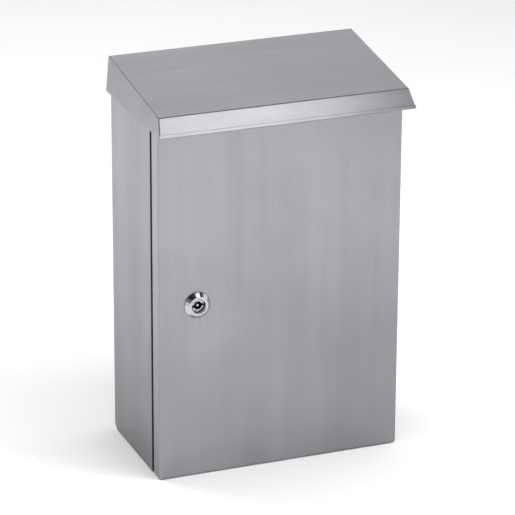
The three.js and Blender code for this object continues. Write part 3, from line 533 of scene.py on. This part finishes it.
def carve(obj, bm, material=None):
    """Cuts the solids in bm out of the piece; the cut faces may have their own material."""
    bm.transform(to_part_frame())
    mesh = bpy.data.meshes.new("cutter")
    bm.to_mesh(mesh)
    bm.free()
    cutter = bpy.data.objects.new("cutter", mesh)
    bpy.context.scene.collection.objects.link(cutter)
    modifier = obj.modifiers.new("cut", "BOOLEAN")
    modifier.operation = "DIFFERENCE"
    modifier.solver = "EXACT"
    modifier.use_self = True
    modifier.object = cutter
    if material:
        mesh.materials.append(MATERIALS[material])
        modifier.material_mode = "TRANSFER"
    apply_modifiers(obj)
    bpy.data.objects.remove(cutter)


def roof_sheet():
    """Sloping top, front lip, two flared skirts and a rear flange, folded from one sheet."""
    bm = bmesh.new()
    top, low = ROOF_TOP_HALF, ROOF_LOW_HALF
    rear_y, rear_z = ROOF_REAR
    fold_y, fold_z = ROOF_FOLD
    lip_y, lip_z = ROOF_LIP
    v = {}
    for side, sign in (("l", -1), ("r", 1)):
        v["rear" + side] = bm.verts.new((sign * top, rear_y, rear_z))
        v["fold" + side] = bm.verts.new((sign * top, fold_y, fold_z))
        v["lip" + side] = bm.verts.new((sign * low, lip_y, lip_z))
        v["low" + side] = bm.verts.new((sign * low, rear_y, lip_z))
        v["flange" + side] = bm.verts.new((sign * (top - 1), rear_y, rear_z - ROOF_REAR_FLANGE))
    faces = [("rearl", "foldl", "foldr", "rearr"), ("foldl", "lipl", "lipr", "foldr"),
             ("rearl", "lowl", "lipl", "foldl"), ("rearr", "foldr", "lipr", "lowr"),
             ("rearl", "rearr", "flanger", "flangel")]
    for corners in faces:
        bm.faces.new([v[name] for name in corners])
    pairs = [("rearl", "foldl"), ("rearr", "foldr"), ("foldl", "foldr"), ("foldl", "lipl"),
             ("foldr", "lipr"), ("rearl", "rearr")]
    fold_edges(bm, [(v[a], v[b]) for a, b in pairs], 1.2, 4, 1)
    piece = make_piece("roof_sheet", bm, "steel_x", "cabinet", ["roof_hood"])
    piece.data.materials.append(MATERIALS["steel_fold"])
    thicken(piece, SHEET)
    soften(piece, 0.2)


def roof_hem():
    """The lip's lower edge, folded back flat on itself."""
    slope = (ROOF_FOLD[0] - ROOF_LIP[0]) / (ROOF_FOLD[1] - ROOF_LIP[1])
    length = math.hypot(slope, 1.0)
    along = Vector((slope / length, 1.0 / length))
    across = Vector((-along.y, along.x))
    start = Vector(ROOF_LIP) + across * 0.05
    outline = []
    for a, b in rounded_outline(0.0, 0.75, 0.35, 3.9, (0.1, 0.37, 0.37, 0.1), 4):
        point = start + across * a + along * b
        outline.append((point.x, point.y))
    bm = bmesh.new()
    reach = ROOF_LOW_HALF - 0.5
    add_outline(bm, outline, "x", -reach, reach)
    piece = make_piece("roof_hem", bm, "steel_x", "cabinet")
    soften(piece)


def body_shell():
    """Body sheet and side panels, welded and ground flush into one shell."""
    bm = bmesh.new()
    outline = rounded_outline(BODY_FRONT, 0, 0, BODY_HEIGHT, (0, REAR_RADIUS, REAR_RADIUS, 0), 10)
    add_outline(bm, outline, "x", -WIDTH / 2, WIDTH / 2)
    front = [face for face in bm.faces if all(abs(c.co.y - BODY_FRONT) < 0.01 for c in face.verts)]
    bmesh.ops.delete(bm, geom=front, context="FACES_ONLY")
    rims = [edge for edge in bm.edges if len(edge.link_faces) == 2
            and abs(abs(edge.verts[0].co.x) - WIDTH / 2) < 0.01
            and abs(edge.verts[0].co.x - edge.verts[1].co.x) < 0.01]
    bmesh.ops.bevel(bm, geom=rims, offset=0.9, segments=3, profile=0.5, affect="EDGES")
    piece = make_piece("body_shell", bm, "steel_body", "cabinet",
                       ["body_sheet", "side_panel_left", "side_panel_right"])
    thicken(piece, SHEET)
    cutters = bmesh.new()
    for x in (-WALL_HOLE_X, WALL_HOLE_X):
        for z in WALL_HOLE_HEIGHTS:
            add_rod(cutters, WALL_HOLE_RADIUS, "y", -4, 2, (x, 0, z))
    add_box(cutters, -GLAND_HALF[0], GLAND_HALF[0], GLAND_MIDDLE - GLAND_HALF[1],
            GLAND_MIDDLE + GLAND_HALF[1], -2, 4)
    for x in (-CARRIER_SCREW_X, CARRIER_SCREW_X):
        for y in CARRIER_PLACES:
            add_rod(cutters, CARRIER_SCREW_HOLE, "z", BODY_HEIGHT - 4, BODY_HEIGHT + 2, (x, y, 0), 24)
    carve(piece, cutters)
    soften(piece, 0.15)


def door_sheet():
    """The door's face with four short returns, rounded folds and the hole for the lock."""
    bm = bmesh.new()
    half = WIDTH / 2
    xs, zs = (-half, half), (0.0, DOOR_TOP)
    front = {(i, k): bm.verts.new((xs[i], -DEPTH, zs[k])) for i in (0, 1) for k in (0, 1)}
    back = {(i, k): bm.verts.new((xs[i], DOOR_BACK, zs[k])) for i in (0, 1) for k in (0, 1)}
    ring = [(0, 0), (1, 0), (1, 1), (0, 1)]
    bm.faces.new([front[c] for c in ring])
    for a, b in zip(ring, ring[1:] + ring[:1]):
        bm.faces.new((front[b], front[a], back[a], back[b]))
    bmesh.ops.recalc_face_normals(bm, faces=bm.faces)
    pairs = [(front[a], front[b]) for a, b in zip(ring, ring[1:] + ring[:1])]
    pairs += [(front[c], back[c]) for c in ring]
    fold_edges(bm, pairs, DOOR_FOLD, 6)
    piece = make_piece("door_sheet", bm, "steel_z", "door", ["door_pan"])
    thicken(piece, SHEET)
    cutters = bmesh.new()
    add_rod(cutters, LOCK_HOLE, "y", -DEPTH - 2, -DEPTH + 4, (LOCK_X, 0, LOCK_HEIGHT), 64)
    carve(piece, cutters)
    soften(piece, 0.2)


def door_seal():
    """Poured foam strip: a low crowned bead that runs round the door inside."""
    middle = RIM_HALF - SHEET / 2
    low, high = RIM_LOW + SHEET / 2, RIM_HIGH - SHEET / 2
    front, back = -DEPTH + SHEET + 0.05, SEAL_BACK
    half = SEAL_WIDTH / 2
    height = back - front
    section = [(half, 0.0), (half * 0.98, height * 0.35), (half * 0.86, height * 0.68),
               (half * 0.62, height * 0.9), (half * 0.3, height * 0.98), (0.0, height)]
    section = section + [(-a, b) for a, b in section[-2::-1]]
    path = rounded_outline(-middle, middle, low, high, [9.0] * 4, 8)
    bm = bmesh.new()
    rings = []
    count = len(path)
    for i, (x, z) in enumerate(path):
        before, after = Vector(path[i - 1]), Vector(path[(i + 1) % count])
        along = (after - before).normalized()
        outward = Vector((along.y, -along.x))
        rings.append([bm.verts.new((x + outward.x * a, front + b, z + outward.y * a))
                      for a, b in section])
    for i, ring in enumerate(rings):
        following = rings[(i + 1) % count]
        for j in range(len(section)):
            k = (j + 1) % len(section)
            bm.faces.new((ring[j], ring[k], following[k], following[j]))
    bmesh.ops.recalc_face_normals(bm, faces=bm.faces)
    piece = make_piece("door_seal_strip", bm, "foam", "door", ["door_seal"])
    soften(piece)


def lock_head():
    """Turned and polished head of the lock, with a coned flank and a recess for the core."""
    seat = -DEPTH - 0.3
    face = seat - LOCK_PROUD
    profile = [(6.5, seat + 0.8), (7.9, seat + 0.8), (7.9, face + 0.9), (8.1, face + 0.35),
               (8.5, face + 0.05), (8.9, face), (10.3, face), (10.75, face + 0.12),
               (11.1, face + 0.45), (11.9, face + 1.2), (13.6, face + 2.9), (14.5, face + 3.8),
               (14.85, face + 4.2), (15.0, face + 4.6), (15.0, seat), (11.0, seat),
               (11.0, DOOR_BACK), (6.5, DOOR_BACK), (6.5, seat + 0.8)]
    bm = bmesh.new()
    add_lathe(bm, profile[:-1], "y", (LOCK_X, 0, LOCK_HEIGHT), 96)
    bmesh.ops.bridge_loops(bm, edges=[edge for edge in bm.edges if len(edge.link_faces) == 1])
    bmesh.ops.recalc_face_normals(bm, faces=bm.faces)
    piece = make_piece("lock_head", bm, "chrome", "door", ["lock_housing"])
    soften(piece)


def lock_core():
    """The turning core: a dished face and a double-bit socket with a pin."""
    face = -DEPTH - 1.5
    profile = [(0, face + 0.25), (4.4, face + 0.2), (5.2, face), (6.6, face + 0.05), (7.2, face + 0.35),
               (7.5, face + 0.9), (7.5, face + 1.7), (6.2, face + 1.7), (6.2, CAM_FRONT - 0.3),
               (0, CAM_FRONT - 0.3)]
    bm = bmesh.new()
    add_lathe(bm, profile, "y", (LOCK_X, 0, LOCK_HEIGHT), 72)
    piece = make_piece("lock_core", bm, "core", "lock", ["lock_insert"])
    cutters = bmesh.new()
    # The socket's cut walls take the near-black painted shade.
    add_rod(cutters, SOCKET_RADIUS, "y", face - 2, face + 9, (0, 0, 0), 48)
    carve_turned(piece, cutters, "socket")
    cutters = bmesh.new()
    add_box(cutters, -7.0, 7.0, face - 2, face + 8.5, -1.45, 1.45)
    carve_turned(piece, cutters, "socket")
    carve_turned(piece, screw_bore(), "socket")
    soften(piece, 0.12, 2)
    bm = bmesh.new()
    tip = [(0, face + 0.7), (1.1, face + 0.75), (1.6, face + 1.2), (1.6, face + 9.3), (0, face + 9.3)]
    add_lathe(bm, tip, "y", (LOCK_X, 0, LOCK_HEIGHT), 32)
    pin = make_piece("lock_socket_pin", bm, "chrome", "lock")
    soften(pin)
    bm = bmesh.new()
    add_box(bm, LOCK_X - SQUARE_HALF, LOCK_X + SQUARE_HALF, CAM_FRONT - 0.4, CAM_BACK - 0.2,
            LOCK_HEIGHT - SQUARE_HALF, LOCK_HEIGHT + SQUARE_HALF)
    square = make_piece("lock_square", bm, "core", "lock")
    carve_turned(square, screw_bore(), "socket")
    soften(square, 0.3)


def screw_bore():
    """The blind hole in the core's back end that the cam screw goes into."""
    cutters = bmesh.new()
    add_rod(cutters, CAM_SCREW_HOLE, "y", CAM_BACK - 12, CAM_BACK + 1, (0, 0, 0))
    return cutters


def carve_turned(piece, cutters, material):
    """Cuts tools that were made about the lock's axis, tilted like the socket."""
    tilt = Matrix.Rotation(math.radians(-SOCKET_TILT), 4, "Y")
    cutters.transform(Matrix.Translation((LOCK_X, 0, LOCK_HEIGHT)) @ tilt)
    carve(piece, cutters, material)


# ---- small fittings ----
def pan_heads(name, places, axis, sign, radius, height, body):
    """Pan-head screws with a cross recess, at places on one surface."""
    index = "xyz".index(axis)
    bm = bmesh.new()
    slots = bmesh.new()
    profile = [(0, 1.0), (0.55, 0.97), (0.76, 0.88), (0.9, 0.68), (0.98, 0.38), (1.0, 0.1), (0.97, -0.12),
               (0, -0.12)]
    for number, place in enumerate(places):
        scaled_profile = [(r * radius, sign * h * height) for r, h in profile]
        add_lathe(bm, scaled_profile, axis, place, 28)
        turn = Matrix.Rotation(math.radians(20 + 37 * number), 4, axis.upper())
        for long_side in (0, 1):
            half = [0.1 * radius] * 3
            flat = [i for i in range(3) if i != index]
            half[flat[long_side]] = 0.6 * radius
            half[index] = 0.5 * height
            corners = add_box(slots, -half[0], half[0], -half[1], half[1], -half[2], half[2])
            shift = Vector([0.0, 0.0, 0.0])
            shift[index] = sign * height
            bmesh.ops.transform(slots, matrix=Matrix.Translation(Vector(place) + shift) @ turn,
                                verts=corners)
    piece = make_piece(name, bm, "zinc", body)
    carve(piece, slots)
    soften(piece)


def add_ring(bm, outer, inner, y0, y1):
    """A flat ring between two outlines in (x, z) that have equally many points."""
    loops = [[bm.verts.new((x, y, z)) for x, z in outline]
             for outline, y in ((outer, y0), (outer, y1), (inner, y1), (inner, y0))]
    faces = []
    count = len(outer)
    for a, b in zip(loops, loops[1:] + loops[:1]):
        for i in range(count):
            j = (i + 1) % count
            faces.append(bm.faces.new((a[i], a[j], b[j], b[i])))
    bmesh.ops.recalc_face_normals(bm, faces=faces)


def device_front(name, middle, modules, window_x, window_half):
    """Window rim, blank label, state window, terminal screws and rail clip of one device."""
    half = (modules * MODULE - MODULE_GAP) / 2
    x = middle + window_x
    bm = bmesh.new()
    outer = rounded_outline(x - window_half - 1.9, x + window_half + 1.9, UPPER_RAIL - 11.0,
                            UPPER_RAIL + 11.0, [1.4] * 4, 5)
    inner = rounded_outline(x - window_half - 0.7, x + window_half + 0.7, UPPER_RAIL - 9.7,
                            UPPER_RAIL + 9.7, [0.5] * 4, 5)
    add_ring(bm, outer, inner, NOSE_Y - 0.7, NOSE_Y + 0.2)
    soften(make_piece(name + "_window_rim", bm, "device", "cabinet"), 0.2)
    bm = bmesh.new()
    label = rounded_outline(middle - half + 2.2, middle + half - 2.2, UPPER_RAIL - 20.6, UPPER_RAIL - 16.4,
                            [0.6] * 4, 4)
    add_outline(bm, label, "y", NOSE_Y - 0.35, NOSE_Y + 0.1)
    soften(make_piece(name + "_label", bm, "label", "cabinet"), 0.1)
    bm = bmesh.new()
    state = rounded_outline(x - 2.4, x + 2.4, UPPER_RAIL + 13.2, UPPER_RAIL + 15.9, [0.5] * 4, 4)
    add_outline(bm, state, "y", NOSE_Y - 0.3, NOSE_Y + 0.1)
    soften(make_piece(name + "_state_window", bm, "green", "cabinet"), 0.12)
    screws = []
    for pole in range(modules):
        pole_x = middle + (pole - (modules - 1) / 2) * MODULE
        for offset in (-TERMINAL_SCREW_OFFSET, TERMINAL_SCREW_OFFSET):
            screws.append((pole_x, TERMINAL_FLOOR_Y - 0.3, UPPER_RAIL + offset))
    pan_heads(name + "_terminal_screws", screws, "y", -1, 2.5, 1.8, "cabinet")
    bm = bmesh.new()
    low = UPPER_RAIL - 47.0
    outer = rounded_outline(middle - 3.6, middle + 3.6, low, UPPER_RAIL - 41.0, [1.2] * 4, 5)
    inner = rounded_outline(middle - 1.8, middle + 1.8, low + 1.4, low + 3.0, [0.5] * 4, 5)
    add_ring(bm, outer, inner, -28.0, -25.4)
    soften(make_piece(name + "_rail_clip", bm, "toggle", "cabinet"), 0.2)


def toggle_grip(name, x, half):
    """Six fine ribs across the end of a toggle's lever."""
    tilt = math.radians(LEVER_TILT)
    along = Vector((-math.cos(tilt), -math.sin(tilt)))
    normal = Vector((-math.sin(tilt), math.cos(tilt)))
    pivot = Vector((PIVOT_Y, UPPER_RAIL))
    bm = bmesh.new()
    for side in (-1, 1):
        for step in range(3):
            outline = []
            start = RIB_START + RIB_PITCH * step
            for a, b in rounded_outline(start, start + RIB_WIDTH, 1.6, 2.75, (0, 0.35, 0.35, 0), 3):
                point = pivot + along * a + normal * (b * side)
                outline.append((point.x, point.y))
            add_outline(bm, outline, "x", x - half, x + half)
    soften(make_piece(name + "_grip", bm, "toggle", name + "_lever"))


def devices():
    """Front details and lever ribs of the six devices, from left to right on the upper rail."""
    start = DEVICE_START
    plan = [("main_switch", 2, 2), ("residual_current_device", 2, 1)]
    plan += [("breaker_%d" % number, 1, 1) for number in (1, 2, 3, 4)]
    for name, modules, toggle_modules in plan:
        middle = start + (modules * MODULE - MODULE_GAP) / 2
        window_half = toggle_modules * MODULE / 2 - 4.6
        window_x = MODULE / 2 if toggle_modules < modules else 0.0
        device_front(name, middle, modules, window_x, window_half)
        toggle_grip(name, middle + window_x, window_half - 0.9)
        start += modules * MODULE


def sleeve(name, x, y, low, high, radius, material):
    """A crimped wire end: a plastic collar that widens toward the wire."""
    bm = bmesh.new()
    profile = [(radius * 0.62, low), (radius * 0.86, low), (radius, low + 1.2), (radius, high - 0.5),
               (radius - 0.4, high), (radius * 0.62, high)]
    add_lathe(bm, profile, "z", (x, y, 0), 28)
    loops = [edge for edge in bm.edges if len(edge.link_faces) == 1]
    bmesh.ops.bridge_loops(bm, edges=loops)
    bmesh.ops.recalc_face_normals(bm, faces=bm.faces)
    soften(make_piece(name, bm, material, "cabinet"))


def wire_ends():
    """The collars at the ends of the two wires that the cabinet comes with."""
    terminal_y = (RAIL_FRONT - 30 + RAIL_FRONT - 38) / 2
    bar_y = (RAIL_FRONT - 26 + RAIL_FRONT - 35) / 2
    top = UPPER_RAIL + TERMINAL_REACH
    sleeve("neutral_wire_collar_top", NEUTRAL_START_X, terminal_y, top + 0.4, top + 8.0, 2.3, "blue")
    sleeve("neutral_wire_collar_bar", NEUTRAL_BAR_X - BAR_END, bar_y, LOWER_RAIL + 3.8, LOWER_RAIL + 9.5, 2.2,
           "blue")
    sleeve("earth_wire_collar_bar", EARTH_BAR_X + BAR_END, bar_y, LOWER_RAIL - 8.6, LOWER_RAIL - 3.8, 2.2,
           "green")


def other_screws():
    """Screws of the two rails, the gland plate and the hinges."""
    for level, height in (("upper", UPPER_RAIL), ("lower", LOWER_RAIL)):
        places = [(x, RAIL_WEB, height) for x in (-RAIL_SCREW_X, RAIL_SCREW_X)]
        pan_heads("rail_screws_" + level, places, "y", -1, 3.8, 2.3, "cabinet")
    ledge = GLAND_HALF[1] + 5
    places = [(x, GLAND_MIDDLE + y, 3.4) for x in (-85, 0, 85) for y in (-ledge, ledge)]
    pan_heads("gland_plate_screws", places, "z", 1, 3.4, 2.2, "cabinet")
    for level, height in HINGE_HEIGHTS:
        pan_heads("hinge_arm_screws_" + level, [(125.2, BODY_FRONT - 2.4, height + z) for z in (-13, 13)],
                  "y", -1, 3.0, 1.8, "cabinet")
        pan_heads("hinge_leaf_screws_" + level, [(127.4, -DEPTH + 3.9, height + z) for z in (-12, 12)],
                  "y", 1, 2.2, 1.3, "door")


roof_sheet()
roof_hem()
body_shell()
door_sheet()
door_seal()
devices()
wire_ends()
other_screws()
lock_head()
lock_core()

# ---- camera ----
camera = bpy.data.objects.new("camera", bpy.data.cameras.new("camera"))
bpy.context.scene.collection.objects.link(camera)
camera.data.lens = CAMERA_LENS
camera.data.sensor_width = 36.0
camera.data.clip_start = 0.1
camera.data.clip_end = 50.0
camera.location = [value * MM for value in CAMERA_PLACE]
camera.location.z += FLOOR_OF_CABINET * MM
camera.rotation_mode = "XYZ"
turn = Matrix.Rotation(math.radians(-CAMERA_YAW), 4, "Z")
tilt = Matrix.Rotation(math.radians(90 + CAMERA_PITCH), 4, "X")
lean = Matrix.Rotation(math.radians(CAMERA_ROLL), 4, "Z")
camera.rotation_euler = (turn @ tilt @ lean).to_euler("XYZ")
bpy.context.scene.camera = camera


# ---- light and stage ----
def area_light(name, place, target, size, power):
    light = bpy.data.lights.new(name, "AREA")
    light.shape = "RECTANGLE"
    light.size, light.size_y = size
    light.energy = power
    obj = bpy.data.objects.new(name, light)
    bpy.context.scene.collection.objects.link(obj)
    obj.location = place
    obj.rotation_euler = (Vector(target) - Vector(place)).to_track_quat("-Z", "Y").to_euler()
    return obj


def studio_world():
    """A pale room: bright round the horizon, dark overhead and up to the left."""
    world = bpy.data.worlds.new("studio")
    world.use_nodes = True
    nodes, links = world.node_tree.nodes, world.node_tree.links
    place = nodes.new("ShaderNodeTexCoord")
    parts = nodes.new("ShaderNodeSeparateXYZ")
    links.new(place.outputs["Generated"], parts.inputs["Vector"])
    across, height = parts.outputs["X"], parts.outputs["Z"]
    frontward = remap(nodes, links, parts.outputs["Y"], 0.0, 0.17, (0.1, -0.3))
    raised = combine(nodes, links, "ADD", height, frontward)
    overhead = remap(nodes, links, raised, ROOM_BRIGHT, ROOM_DARK, (0.62, 0.82))
    leftward = remap(nodes, links, across, 0.78, 0.0, (-0.42, -0.12))
    rising = remap(nodes, links, height, 0.0, 1.0, (0.08, 0.24))
    shade = combine(nodes, links, "MULTIPLY", leftward, rising)
    kept = combine(nodes, links, "SUBTRACT", 1.0, shade)
    links.new(combine(nodes, links, "MULTIPLY", overhead, kept), nodes["Background"].inputs["Strength"])
    nodes["Background"].inputs["Color"].default_value = (0.985, 0.99, 1.0, 1.0)
    bpy.context.scene.world = world


studio_world()
bpy.context.scene.view_settings.view_transform = "Standard"

for name, place, size, power in (
        ("overhead", (-0.3, -0.7, 3.0), (3.4, 3.4), 76.0),
        ("behind_left", (-1.1, 1.4, 1.9), (1.1, 1.1), 22.0),
        ("front_right", (1.5, -1.2, 1.9), (1.1, 1.1), 26.0)):
    light = area_light(name, place, (0.0, 0.0, -0.1), size, power)
    light.visible_glossy = False
lip_box = area_light("lip_box", (0.1175, -0.518, 0.581), (-0.075, -0.166, 0.21), (0.34, 0.34), 0.78)
lip_box.visible_camera = False


def stage_floor():
    """Plain pale paper under the cabinet."""
    material, nodes, links, shader = new_material("floor_paper")
    tone = noise(nodes, links, 3.0, EVEN, 2.0)
    links.new(tint(nodes, links, remap(nodes, links, tone, 0.0, 1.0),
                   (0.90, 0.90, 0.90), (0.93, 0.93, 0.93)), shader.inputs["Base Color"])
    shader.inputs["Roughness"].default_value = 0.9
    mesh = bpy.data.meshes.new("floor")
    reach = 6.0
    level = FLOOR_OF_CABINET * MM - 0.0005
    mesh.from_pydata([(-reach, -reach, level), (reach, -reach, level), (reach, reach, level),
                      (-reach, reach, level)], [], [(0, 1, 2, 3)])
    mesh.materials.append(material)
    floor = bpy.data.objects.new("floor", mesh)
    bpy.context.scene.collection.objects.link(floor)


stage_floor()
